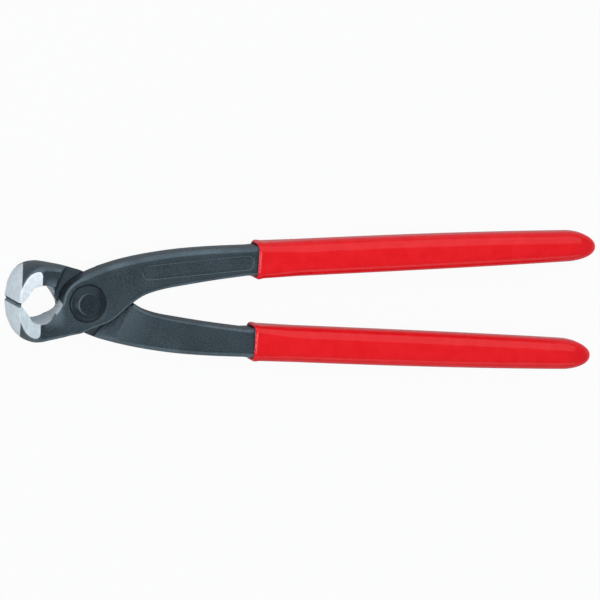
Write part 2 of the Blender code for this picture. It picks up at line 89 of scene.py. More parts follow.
class Graph:
    """Adds nodes to one node tree and wires them."""

    def __init__(self, tree: bpy.types.NodeTree) -> None:
        """Keeps the tree.

        Args:
            tree: The material's or group's node tree.
        """
        self.tree = tree

    def node(self, kind: str, **settings: object) -> bpy.types.Node:
        """Adds a node.

        Args:
            kind: The node's type name.
            settings: Properties set on the node.

        Returns:
            The new node.
        """
        made = self.tree.nodes.new(kind)
        for name, value in settings.items():
            setattr(made, name, value)
        return made

    def feed(self, socket: Socket, value: Value) -> None:
        """Links an output to a socket, or sets the socket's own value.

        Args:
            socket: The input socket.
            value: An output socket, a number or a colour.
        """
        if isinstance(value, Socket):
            self.tree.links.new(value, socket)
        elif isinstance(value, tuple) and len(value) == 3 and socket.type == "RGBA":
            socket.default_value = (*value, 1.0)
        else:
            socket.default_value = value

    def math(self, operation: str, first: Value, second: Value = 0.0, third: Value = 0.0) -> Socket:
        """Adds a Math node.

        Args:
            operation: The operation's name.
            first: First value or output.
            second: Second value or output.
            third: Third value or output.

        Returns:
            The result.
        """
        made = self.node("ShaderNodeMath", operation=operation)
        for socket, value in zip(made.inputs, (first, second, third)):
            self.feed(socket, value)
        return made.outputs[0]

    def length(self, first: Socket, second: Socket) -> Socket:
        """Measures the slanting side of a right triangle.

        Args:
            first: One of its other sides.
            second: The other one.

        Returns:
            The length.
        """
        first_square = self.math("MULTIPLY", first, first)
        second_square = self.math("MULTIPLY", second, second)
        return self.math("SQRT", self.math("ADD", first_square, second_square))

    def mix(self, share: Value, low: Value, high: Value) -> Socket:
        """Mixes two values.

        Args:
            share: How much of the second value, from 0 to 1.
            low: The value at 0.
            high: The value at 1.

        Returns:
            The mixed value.
        """
        made = self.node("ShaderNodeMix", data_type="FLOAT")
        self.feed(made.inputs[0], share)
        self.feed(made.inputs[2], low)
        self.feed(made.inputs[3], high)
        return made.outputs[0]

    def mix_colour(self, share: Value, low: Value, high: Value) -> Socket:
        """Mixes two colours.

        Args:
            share: How much of the second colour, from 0 to 1.
            low: The colour at 0.
            high: The colour at 1.

        Returns:
            The mixed colour.
        """
        made = self.node("ShaderNodeMix", data_type="RGBA")
        self.feed(made.inputs[0], share)
        self.feed(made.inputs[6], low)
        self.feed(made.inputs[7], high)
        return made.outputs[2]

    def ramp(self, value: Value, low: float, high: float) -> Socket:
        """Maps a value smoothly from 0 at one limit to 1 at the other.

        Args:
            value: The value or output.
            low: Where the result is 0.
            high: Where the result is 1.

        Returns:
            The share between the limits.
        """
        made = self.node("ShaderNodeMapRange", interpolation_type="SMOOTHSTEP")
        self.feed(made.inputs["Value"], value)
        self.feed(made.inputs["From Min"], low)
        self.feed(made.inputs["From Max"], high)
        return made.outputs["Result"]

    def noise(self, place: Socket, scale: Value, detail: float = 2.0, rough: float = 0.5) -> Socket:
        """Adds a noise texture.

        Args:
            place: The coordinates.
            scale: The texture's scale.
            detail: How many octaves.
            rough: How strong the finer octaves are.

        Returns:
            The noise, about 0.5.
        """
        made = self.node("ShaderNodeTexNoise")
        self.feed(made.inputs["Vector"], place)
        self.feed(made.inputs["Scale"], scale)
        self.feed(made.inputs["Detail"], detail)
        self.feed(made.inputs["Roughness"], rough)
        return made.outputs["Fac"]

    def split(self, place: Socket) -> tuple[Socket, Socket, Socket]:
        """Takes a vector apart.

        Args:
            place: The vector.

        Returns:
            Its three parts.
        """
        made = self.node("ShaderNodeSeparateXYZ")
        self.feed(made.inputs[0], place)
        return tuple(made.outputs)

    def effect(self, which: Effect, place: Socket) -> bpy.types.Node:
        """Places a shared group.

        Args:
            which: The group.
            place: The coordinates that it reads.

        Returns:
            The group's node.
        """
        made = self.node("ShaderNodeGroup", node_tree=bpy.data.node_groups[which.value])
        self.feed(made.inputs[0], place)
        return made

    def bump(self, height: Socket, strength: float, distance: float) -> Socket:
        """Adds a Bump node.

        Args:
            height: The height.
            strength: How strong the bumps are, from 0 to 1.
            distance: How high they are, in metres.

        Returns:
            The normal.
        """
        made = self.node("ShaderNodeBump")
        made.inputs["Strength"].default_value = strength
        made.inputs["Distance"].default_value = distance
        self.feed(made.inputs["Height"], height)
        return made.outputs[0]


class GroupGraph(Graph):
    """Builds one shared node group, which reads coordinates."""

    def __init__(self, effect: Effect, inputs: tuple[str, ...], outputs: tuple[str, ...]) -> None:
        """Makes the group with its sockets.

        Args:
            effect: The group's name.
            inputs: Names of the numbers that it reads besides the coordinates.
            outputs: Names of the numbers that it puts out.
        """
        super().__init__(bpy.data.node_groups.new(effect.value, "ShaderNodeTree"))
        sockets = self.tree.interface
        sockets.new_socket("Vector", in_out="INPUT", socket_type="NodeSocketVector")
        for name in inputs:
            sockets.new_socket(name, in_out="INPUT", socket_type="NodeSocketFloat")
        for name in outputs:
            sockets.new_socket(name, in_out="OUTPUT", socket_type="NodeSocketFloat")
        self.given = self.node("NodeGroupInput").outputs
        self.results = self.node("NodeGroupOutput").inputs

    def put_out(self, *values: Socket) -> None:
        """Links the results in the order of the group's outputs."""
        for socket, value in zip(self.results, values):
            self.feed(socket, value)


def new_material(name: str) -> tuple[bpy.types.Material, Graph, bpy.types.Node]:
    """Makes a material.

    Args:
        name: The material's name.

    Returns:
        The material, its graph and its Principled shader.
    """
    made = bpy.data.materials.new(name)
    made.use_nodes = True
    return made, Graph(made.node_tree), made.node_tree.nodes["Principled BSDF"]


def new_mesh(name: str, shape: bmesh.types.BMesh, material: bpy.types.Material) -> bpy.types.Mesh:
    """Turns a finished bmesh into a mesh and frees it.

    Its faces are listed by their vertices first, because some operators leave them in any order.

    Args:
        name: The mesh's name.
        shape: The bmesh.
        material: The mesh's one material.

    Returns:
        The mesh.
    """
    shape.verts.index_update()
    listed = sorted(shape.faces, key=lambda face: sorted(vert.index for vert in face.verts))
    places = {face: place for place, face in enumerate(listed)}
    shape.faces.sort(key=places.get)
    mesh = bpy.data.meshes.new(name)
    shape.to_mesh(mesh)
    shape.free()
    mesh.materials.append(material)
    return mesh


def link_new(name: str, data: bpy.types.ID) -> bpy.types.Object:
    """Makes an object and links it to the scene.

    Args:
        name: The object's name.
        data: Its mesh, lamp or camera.

    Returns:
        The object.
    """
    made = bpy.data.objects.new(name, data)
    bpy.context.scene.collection.objects.link(made)
    return made


@dataclass(frozen=True)
class Spot:
    """Where a shaded point lies from the pivot, as outputs of nodes."""

    along: Socket
    side: Socket
    up: Socket
    depth: Socket


@dataclass(frozen=True)
class GroundZones:
    """Where the jaws are ground bright, about the pivot."""

    mouth_x: float = -0.0180
    mouth_radius: float = 0.00722
    front_x: float = -0.0234
    front_sweep: float = 0.30
    rear_sweep: float = 0.45
    rear_start: float = 0.0050
    wedge_x: float = -0.0255
    wedge_y: float = 0.00115
    wedge_slope: float = 1.313
    wedge_end: float = -0.0215
    half_depth: float = 0.0090
    face_start: float = 0.00006
    face_full: float = 0.00001
    flat_end: float = -0.0184
    flat_reach: float = 0.0126
    flat_corner: float = 0.0022
    throat_end: float = -0.0095
    throat_start: float = -0.0119
    throat_side: float = 0.0038
    throat_flare: float = 0.33
    throat_depth: float = 0.00544
    throat_rise: float = 0.23
    throat_floor: float = 0.0004
    bevel_x: float = -0.0262
    bevel_y: float = 0.00090
    softness: float = 0.00012

    def outer_face(self, graph: Graph, spot: Spot) -> Socket:
        """Masks the jaws' outer faces, ground in one slanting pass.

        Args:
            graph: The group's graph.
            spot: The shaded point.

        Returns:
            The mask.
        """
        sweep = graph.math("MULTIPLY", graph.math("MAXIMUM", spot.up, -self.rear_start), self.front_sweep)
        rear = graph.math("MAXIMUM", graph.math("SUBTRACT", -self.rear_start, spot.up), 0.0)
        sweep = graph.math("MULTIPLY_ADD", rear, self.rear_sweep, sweep)
        front = graph.math("SUBTRACT", graph.math("SUBTRACT", self.front_x, sweep), spot.along)
        return graph.ramp(front, -self.softness, self.softness)

    def flat(self, graph: Graph, spot: Spot) -> Socket:
        """Masks the flats on the jaws' sides, with their rounded corners.

        Args:
            graph: The group's graph.
            spot: The shaded point.

        Returns:
            The mask.
        """
        corner = self.flat_corner
        right = graph.math("MAXIMUM", graph.math("SUBTRACT", spot.along, self.flat_end - corner), 0.0)
        top = graph.math("MAXIMUM", graph.math("SUBTRACT", spot.side, self.flat_reach - corner), 0.0)
        reach = graph.length(right, top)
        inside = graph.math("SUBTRACT", 1.0, graph.ramp(reach, corner - self.softness, corner))
        face = graph.ramp(spot.depth, self.half_depth - self.face_start, self.half_depth - self.face_full)
        return graph.math("MULTIPLY", inside, face)

    def mouth(self, graph: Graph, spot: Spot) -> Socket:
        """Masks the round wall of the mouth.

        Args:
            graph: The group's graph.
            spot: The shaded point.

        Returns:
            The mask.
        """
        out = graph.length(graph.math("SUBTRACT", spot.along, self.mouth_x), spot.side)
        return graph.ramp(graph.math("SUBTRACT", self.mouth_radius, out), 0.0, self.softness)

    def wedge(self, graph: Graph, spot: Spot) -> Socket:
        """Masks the wedges that run from the mouth to the cutting edges.

        Args:
            graph: The group's graph.
            spot: The shaded point.

        Returns:
            The mask.
        """
        rise = graph.math("MULTIPLY", graph.math("SUBTRACT", spot.along, self.wedge_x), self.wedge_slope)
        rise = graph.math("SUBTRACT", graph.math("ADD", rise, self.wedge_y), spot.side)
        ahead = graph.math("LESS_THAN", spot.along, self.wedge_end)
        return graph.math("MULTIPLY", graph.ramp(rise, 0.0, self.softness), ahead)

    def throat(self, graph: Graph, spot: Spot, own_side: Socket) -> Socket:
        """Masks the strip behind the mouth that a lever shows on its own front.

        Args:
            graph: The group's graph.
            spot: The shaded point.
            own_side: The lever's own front along Z.

        Returns:
            The mask.
        """
        own = graph.math("MULTIPLY", spot.up, own_side)
        depth_at_pivot = self.throat_depth + self.throat_rise * self.throat_end
        limit = graph.math("MULTIPLY_ADD", spot.along, -self.throat_rise, depth_at_pivot)
        wide = graph.math("SUBTRACT", spot.along, self.throat_start)
        wide = graph.math("MULTIPLY_ADD", wide, self.throat_flare, self.throat_side)
        strip = graph.math("LESS_THAN", spot.along, self.throat_end)
        for gate in (graph.math("GREATER_THAN", spot.along, self.throat_start),
                     graph.math("LESS_THAN", spot.side, wide),
                     graph.math("GREATER_THAN", own, self.throat_floor),
                     graph.math("LESS_THAN", spot.depth, limit)):
            strip = graph.math("MULTIPLY", strip, gate)
        return strip

    def build(self, pivot: Vector) -> None:
        """Makes the group that tells bright ground steel from the black finish, and masks the cutting
        bevels for painted shade.

        Args:
            pivot: The joint's place.
        """
        graph = GroupGraph(Effect.GRINDING, ("Own Side",), ("Ground", "Flat", "Bevel"))
        place, own_side = graph.given[0], graph.given[1]
        moved = graph.node("ShaderNodeVectorMath", operation="SUBTRACT")
        graph.feed(moved.inputs[0], place)
        moved.inputs[1].default_value = tuple(pivot)
        along, across, up = graph.split(moved.outputs[0])
        spot = Spot(along, graph.math("ABSOLUTE", across), up, graph.math("ABSOLUTE", up))

        flat = self.flat(graph, spot)
        total = self.outer_face(graph, spot)
        for zone in (flat, self.mouth(graph, spot), self.wedge(graph, spot),
                     self.throat(graph, spot, own_side)):
            total = graph.math("MAXIMUM", total, zone)
        # Mask of the cutting bevels, which get painted shade.
        bevel_shade = graph.math("MULTIPLY", graph.math("LESS_THAN", along, self.bevel_x),
                           graph.math("LESS_THAN", spot.side, self.bevel_y))
        graph.put_out(total, flat, bevel_shade)


@dataclass(frozen=True)
class PanelLine:
    """The rim of the stadium-shaped panel on the front lever's shank, about the pivot, which gets a
    painted highlight.
    """

    centre_x: float = 0.04138
    centre_y: float = 0.01277
    half_length: float = 0.0210
    half_width: float = 0.00255
    angle_degrees: float = 5.5
    line: float = 0.00016
    lowest: float = 0.0040

    def build(self, pivot: Vector) -> None:
        """Makes the group that masks the panel's rim, for its painted highlight.

        Args:
            pivot: The joint's place.
        """
        graph = GroupGraph(Effect.PANEL, (), ("Rim",))
        placed = graph.node("ShaderNodeMapping", vector_type="TEXTURE")
        graph.feed(placed.inputs["Vector"], graph.given[0])
        centre = pivot + Vector((self.centre_x, self.centre_y, 0.0))
        placed.inputs["Location"].default_value = tuple(centre)
        placed.inputs["Rotation"].default_value = (0.0, 0.0, math.radians(self.angle_degrees))
        along, across, up = graph.split(placed.outputs[0])
        straight = self.half_length - self.half_width
        past = graph.math("SUBTRACT", graph.math("ABSOLUTE", along), straight)
        out = graph.length(graph.math("MAXIMUM", past, 0.0), across)
        gap = graph.math("SUBTRACT", out, self.half_width)
        near = graph.math("SUBTRACT", 1.0, graph.ramp(graph.math("ABSOLUTE", gap), 0.0, self.line))
        graph.put_out(graph.math("MULTIPLY", near, graph.math("GREATER_THAN", up, self.lowest)))


@dataclass(frozen=True)
class ForgingGrain:
    """The fine grain and the wide clouds of a forged, finished surface."""

    grain_octaves: float = 2.0
    grain_rough: float = 0.6
    cloud_scale: float = 0.04
    cloud_octaves: float = 3.0
    cloud_rough: float = 0.55
    cloud_height: float = 0.2
    low: float = 0.28
    high: float = 0.72

    def build(self) -> None:
        """Makes the group, which gives two tones and a height from a grain size in metres."""
        graph = GroupGraph(Effect.GRAIN, ("Grain Size",), ("Tone", "Cloud", "Height"))
        place, size = graph.given[0], graph.given[1]
        scale = graph.math("DIVIDE", 1.0, size)
        grain = graph.noise(place, scale, self.grain_octaves, self.grain_rough)
        wide = graph.math("MULTIPLY", scale, self.cloud_scale)
        cloud = graph.noise(place, wide, self.cloud_octaves, self.cloud_rough)
        graph.put_out(graph.ramp(grain, self.low, self.high), graph.ramp(cloud, self.low, self.high),
                      graph.mix(self.cloud_height, grain, cloud))


@dataclass(frozen=True)
class BeltStreaks:
    """The fine parallel lines that a grinding belt leaves."""

    lean_degrees: float = 4.0
    scale: Place = (5200.0, 300.0, 5200.0)
    octaves: float = 3.0
    rough: float = 0.65
    cloud_scale: float = 420.0
    low: float = 0.3
    high: float = 0.7

    def build(self) -> None:
        """Makes the group, which gives the lines and a soft cloud, both about 0.5."""
        graph = GroupGraph(Effect.STREAKS, (), ("Lines", "Cloud"))
        place = graph.given[0]
        stretched = graph.node("ShaderNodeMapping")
        graph.feed(stretched.inputs["Vector"], place)
        stretched.inputs["Rotation"].default_value = (0.0, 0.0, math.radians(self.lean_degrees))
        stretched.inputs["Scale"].default_value = self.scale
        lines = graph.noise(stretched.outputs[0], 1.0, self.octaves, self.rough)
        cloud = graph.noise(place, self.cloud_scale)
        graph.put_out(graph.ramp(lines, self.low, self.high), graph.ramp(cloud, self.low, self.high))


@dataclass(frozen=True)
class Coat:
    """A finish on its way to the shader, as outputs of nodes."""

    colour: Socket
    rough: Socket
    height: Socket


@dataclass(frozen=True)
class ForgedFinish:
    """Dark matt finish on a forging, ground steel where a mask says so, and painted light on edges and
    bevels.
    """

    black: Colour = (0.015, 0.022, 0.027)
    black_light: Colour = (0.052, 0.069, 0.081)
    cloud_share: float = 0.3
    # Pale edge colour: rubbing, and a painted highlight on rounded edges and the panel's rim.
    wear_and_highlight: Colour = (0.14, 0.18, 0.21)
    wear_and_highlight_cloud: float = 0.35
    wear_and_highlight_least: float = 0.5
    wear_and_highlight_most: float = 0.9
    wear_and_highlight_from: float = 0.3
    wear_and_highlight_full: float = 1.0
    # How strong the painted highlight on the panel's rim is.
    panel_rim_highlight: float = 0.7
    flat_steel: Colour = (0.86, 0.905, 0.945)
    steel: Colour = (0.93, 0.965, 0.99)
    dull: float = 0.70
    # Painted shade on the cutting bevels: a grey in place of bright steel.
    bevel_shade: Colour = (0.19, 0.23, 0.26)
    haze_share: float = 0.35
    sheen: Colour = (0.70, 0.88, 1.0)
    sheen_level: float = 0.30
    black_roughness: float = 0.38
    black_smoother: float = 0.06
    black_rougher: float = 0.08
    steel_roughness: float = 0.38
    steel_spread: float = 0.06
    steel_metallic: float = 0.42
    streak_height: float = 0.4
    grain_size: float = 0.0005
    grain_depth: float = 0.00007
    bump_strength: float = 0.7

    def dark(self, graph: Graph, place: Socket) -> Coat:
        """Adds the dark finish with its grain and its pale edges, which are rubbing and painted highlight
        at once.

        Args:
            graph: The material's graph.
            place: The Object coordinates.

        Returns:
            The dark coat.
        """
        grain = graph.effect(Effect.GRAIN, place)
        grain.inputs[1].default_value = self.grain_size
        tone, cloud, height = grain.outputs
        shade = graph.mix(self.cloud_share, tone, cloud)
        colour = graph.mix_colour(shade, self.black, self.black_light)
        smooth = self.black_roughness - self.black_smoother
        rough = graph.mix(shade, smooth, self.black_roughness + self.black_rougher)
        # Paler rounded edges: rubbing and painted edge highlight.
        edge = graph.node("ShaderNodeAttribute", attribute_name=WEAR_AND_HIGHLIGHT_LAYER).outputs["Fac"]
        wear_and_highlight = graph.mix(cloud, self.wear_and_highlight_cloud, graph.mix(tone, self.wear_and_highlight_least, self.wear_and_highlight_most))
        wear_and_highlight_share = graph.math("MULTIPLY", graph.ramp(edge, self.wear_and_highlight_from, self.wear_and_highlight_full), wear_and_highlight)
        return Coat(graph.mix_colour(wear_and_highlight_share, colour, self.wear_and_highlight), rough, height)

    def ground(self, graph: Graph, place: Socket, own_side: float, coat: Coat) -> tuple[Coat, Socket]:
        """Lays ground steel over the dark coat where the jaws are ground, with painted shade on the
        cutting bevels.

        Args:
            graph: The material's graph.
            place: The Object coordinates.
            own_side: The lever's own front along Z.
            coat: The dark coat.

        Returns:
            The new coat and the mask of the ground steel.
        """
        zones = graph.effect(Effect.GRINDING, place)
        zones.inputs[1].default_value = own_side
        mask, flat, bevel_shade = zones.outputs
        lines, haze = graph.effect(Effect.STREAKS, place).outputs
        tint = graph.mix_colour(flat, self.steel, self.flat_steel)
        dull = graph.mix_colour(flat, tuple(self.dull * part for part in self.steel),
                                tuple(self.dull * part for part in self.flat_steel))
        steel = graph.mix_colour(graph.mix(self.haze_share, lines, haze), dull, tint)
        # Painted shade: the cutting bevels take a darker colour than the ground steel.
        steel = graph.mix_colour(bevel_shade, steel, self.bevel_shade)
        colour = graph.mix_colour(mask, coat.colour, steel)
        gloss = graph.mix(lines, self.steel_roughness + self.steel_spread,
                          self.steel_roughness - self.steel_spread)
        height = graph.mix(mask, coat.height, graph.math("MULTIPLY", lines, self.streak_height))
        return Coat(colour, graph.mix(mask, coat.rough, gloss), height), mask

    def material(self, name: str, own_side: float, panel: bool) -> bpy.types.Material:
        """Makes the material.

        Args:
            name: The material's name.
            own_side: The lever's own front along Z, or 0 for a piece without ground zones.
            panel: True where the shank's panel shows on the piece.

        Returns:
            The material.
        """
        made, graph, shader = new_material(name)
        shader.inputs["Specular IOR Level"].default_value = self.sheen_level
        shader.inputs["Specular Tint"].default_value = (*self.sheen, 1.0)
        place = graph.node("ShaderNodeTexCoord").outputs["Object"]
        coat = self.dark(graph, place)
        if panel:
            # Painted highlight: the panel's rim takes the pale edge colour.
            rim = graph.math("MULTIPLY", graph.effect(Effect.PANEL, place).outputs[0], self.panel_rim_highlight)
            coat = replace(coat, colour=graph.mix_colour(rim, coat.colour, self.wear_and_highlight))
        if own_side:
            coat, mask = self.ground(graph, place, own_side, coat)
            graph.feed(shader.inputs["Metallic"], graph.math("MULTIPLY", mask, self.steel_metallic))
        graph.feed(shader.inputs["Base Color"], coat.colour)
        graph.feed(shader.inputs["Roughness"], coat.rough)
        normal = graph.bump(coat.height, self.bump_strength, self.grain_depth)
        graph.feed(shader.inputs["Normal"], normal)
        return made


@dataclass(frozen=True)
class DippedFinish:
    """Glossy dipped plastic."""

    colour: Colour = (0.86, 0.010, 0.016)
    deep: Colour = (0.82, 0.006, 0.011)
    cloud_scale: float = 240.0
    cloud_low: float = 0.3
    cloud_high: float = 0.7
    roughness: float = 0.14
    smoother: float = 0.03
    rougher: float = 0.05
    sheen_level: float = 0.28
    peel_scale: float = 1500.0
    peel_strength: float = 0.1
    peel_depth: float = 0.00002

    def material(self, name: str) -> bpy.types.Material:
        """Makes the material.

        Args:
            name: The material's name.

        Returns:
            The material.
        """
        made, graph, shader = new_material(name)
        shader.inputs["Specular IOR Level"].default_value = self.sheen_level
        place = graph.node("ShaderNodeTexCoord").outputs["Object"]
        cloud = graph.noise(place, self.cloud_scale)
        share = graph.ramp(cloud, self.cloud_low, self.cloud_high)
        graph.feed(shader.inputs["Base Color"], graph.mix_colour(share, self.deep, self.colour))
        rough = graph.mix(cloud, self.roughness - self.smoother, self.roughness + self.rougher)
        graph.feed(shader.inputs["Roughness"], rough)
        peel = graph.noise(place, self.peel_scale)
        graph.feed(shader.inputs["Normal"], graph.bump(peel, self.peel_strength, self.peel_depth))
        return made


@dataclass
class Lever:
    """One forged lever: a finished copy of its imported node."""

    body: Body
    pivot: Vector
    sharp_degrees: float = 34.0
    weld: float = 0.000002
    edge_x: float = -0.0255
    edge_reach: float = 0.00016
    edge_gap: float = 0.000005
    longest_edge: float = 0.0018
    flat_radians: float = 0.025
    refine_rounds: int = 5
    wear_and_highlight_from_degrees: float = 9.0
    wear_and_highlight_full_degrees: float = 22.0
    unmarked_degrees: float = 50.0

    def close_edge(self, shape: bmesh.types.BMesh) -> None:
        """Moves the cutting edge almost to the middle, where it meets the other one.

        Args:
            shape: The merged forging.
        """
        for vert in shape.verts:
            place = vert.co - self.pivot
            if place.x < self.edge_x and abs(place.y) < self.edge_reach:
                vert.co.y = self.pivot.y + math.copysign(self.edge_gap, place.y)

    def mark_wear_and_highlight(self, shape: bmesh.types.BMesh) -> None:
        """Stores at each vertex how far the surface turns there, for pale edges: rubbing and painted
        highlight.

        The sharpest corners stay unmarked.

        Args:
            shape: The merged forging.
        """
        shape.normal_update()
        # Rounded edges are marked paler: a painted edge highlight as well as rubbing.
        layer = shape.verts.layers.float.new(WEAR_AND_HIGHLIGHT_LAYER)
        span = self.wear_and_highlight_full_degrees - self.wear_and_highlight_from_degrees
        for vert in shape.verts:
            most = max(math.degrees(edge.calc_face_angle_signed(0.0)) for edge in vert.link_edges)
            if most > self.unmarked_degrees:
                continue
            vert[layer] = min(max((most - self.wear_and_highlight_from_degrees) / span, 0.0), 1.0)

    def refine(self, shape: bmesh.types.BMesh) -> None:
        """Halves the long edges of flat stretches, so that shading turns only where the surface does.

        Args:
            shape: The merged forging.
        """
        for _ in range(self.refine_rounds):
            long_edges = [
                edge for edge in shape.edges
                if edge.calc_length() > self.longest_edge
                and edge.calc_face_angle(math.pi) < self.flat_radians]
            if not long_edges:
                break
            bmesh.ops.subdivide_edges(shape, edges=long_edges, cuts=1)
            bmesh.ops.triangulate(shape, faces=[face for face in shape.faces if len(face.verts) > 3])

    def build(self, material: bpy.types.Material) -> bpy.types.Object:
        """Copies, merges and shades the forging.

        Args:
            material: The finish.

        Returns:
            The new piece.
        """
        node = self.body.value
        mesh = frame["nodes"][node].data.copy()
        mesh.name = node + "_forging"
        shape = bmesh.new()
        shape.from_mesh(mesh)
        bmesh.ops.remove_doubles(shape, verts=shape.verts, dist=self.weld)
        bmesh.ops.dissolve_degenerate(shape, edges=shape.edges, dist=self.weld)
        self.close_edge(shape)
        self.mark_wear_and_highlight(shape)
        self.refine(shape)
        shape.to_mesh(mesh)
        shape.free()
        mesh.materials.clear()
        mesh.materials.append(material)
        mesh.shade_smooth()
        mesh.set_sharp_from_angle(angle=math.radians(self.sharp_degrees))
        piece = link_new(mesh.name, mesh)
        even = piece.modifiers.new("even_normals", "WEIGHTED_NORMAL")
        even.keep_sharp = True
        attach(piece, self.body.value)
        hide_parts(node)
        return piece


@dataclass
class Rivet:
    """The big joint rivet, spun from its half outline."""

    pivot: Vector
    head_radius: float = 0.0066
    flat_radius: float = 0.0039
    shank_radius: float = 0.0040
    seat: float = 0.00525
    rim: float = 0.0006
    crown: float = 0.0015
    soft: float = 0.00025
    flat_fall: float = 0.9
    cone_lift: float = 0.6
    rim_fall: float = 0.4
    cone_swell: float = 0.00012
    bend_steps: int = 6
    steps: int = 96
    weld: float = 0.000001
    sharp_degrees: float = 50.0
    wear_and_highlight_width: float = 0.0004
    flat_wear_and_highlight: float = 0.7
    # Painted highlight on the left side of the flat's ring.
    left_painted_highlight: float = 0.6
    rim_wear_and_highlight: float = 0.6

    def profile(self) -> list[tuple[float, float]]:
        """Lists the half outline from the middle of the head to the shank.

        Returns:
            Pairs of radius and height over the joint's middle plane.
        """
        edge = self.seat + self.rim
        top = edge + self.crown
        points = [(0.0, top), (self.flat_radius - 2.0 * self.soft, top)]
        for step in range(self.bend_steps + 1):
            turn = step / self.bend_steps
            drop = self.soft * (self.flat_fall * turn ** 2)
            points.append((self.flat_radius - self.soft + 2.0 * self.soft * turn, top - drop))
        cone_end = (self.head_radius - self.soft, edge + self.cone_lift * self.soft)
        start = points[-1]
        for step in range(1, self.bend_steps):
            along = step / self.bend_steps
            swell = self.cone_swell * math.sin(math.pi * along)
            points.append((start[0] + (cone_end[0] - start[0]) * along,
                           start[1] + (cone_end[1] - start[1]) * along + swell))
        for step in range(self.bend_steps + 1):
            turn = math.pi / 2.0 * step / self.bend_steps
            points.append((self.head_radius - self.soft + self.soft * math.sin(turn),
                           edge - self.rim_fall * self.soft + self.soft * math.cos(turn)))
        points.append((self.head_radius, self.seat))
        points.append((self.shank_radius, self.seat))
        points.append((self.shank_radius, 0.0))
        return points

    def mark_wear_and_highlight(self, shape: bmesh.types.BMesh) -> None:
        """Stores how pale each vertex is: two rings of rubbing and painted highlight, with painted
        highlight on the left.

        Args:
            shape: The rivet about its own middle.
        """
        layer = shape.verts.layers.float.new(WEAR_AND_HIGHLIGHT_LAYER)
        for vert in shape.verts:
            radius = vert.co.xy.length
            # Painted highlight: the flat's ring is paler on its left side, which faces the left lamps.
            lit_side = max(0.0, -vert.co.x / max(radius, self.soft))
            flat_ring_strength = self.flat_wear_and_highlight + self.left_painted_highlight * lit_side
            near_flat = flat_ring_strength - abs(radius - self.flat_radius) / self.wear_and_highlight_width
            near_rim = self.rim_wear_and_highlight - abs(radius - self.head_radius) / self.wear_and_highlight_width
            vert[layer] = max(near_flat, near_rim, 0.0)

    def build(self, material: bpy.types.Material) -> bpy.types.Object:
        """Spins both heads and the shank.

        Args:
            material: The finish.

        Returns:
            The new piece.
        """
        shape = bmesh.new()
        points = self.profile()
        points += [(radius, -height) for radius, height in reversed(points[:-1])]
        chain = [shape.verts.new((radius, 0.0, height)) for radius, height in points]
        edges = [shape.edges.new(pair) for pair in zip(chain, chain[1:])]
        bmesh.ops.spin(
            shape, geom=chain + edges, cent=(0.0, 0.0, 0.0), axis=(0.0, 0.0, 1.0),
            angle=2.0 * math.pi, steps=self.steps, use_merge=True)
        bmesh.ops.remove_doubles(shape, verts=shape.verts, dist=self.weld)
        bmesh.ops.recalc_face_normals(shape, faces=shape.faces)
        self.mark_wear_and_highlight(shape)
        bmesh.ops.translate(shape, verts=shape.verts, vec=self.pivot)
        mesh = new_mesh("rivet_spun", shape, material)
        mesh.shade_smooth()
        mesh.set_sharp_from_angle(angle=math.radians(self.sharp_degrees))
        piece = link_new(mesh.name, mesh)
        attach(piece, Body.FRONT.value)
        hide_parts("joint_rivet")
        return piece


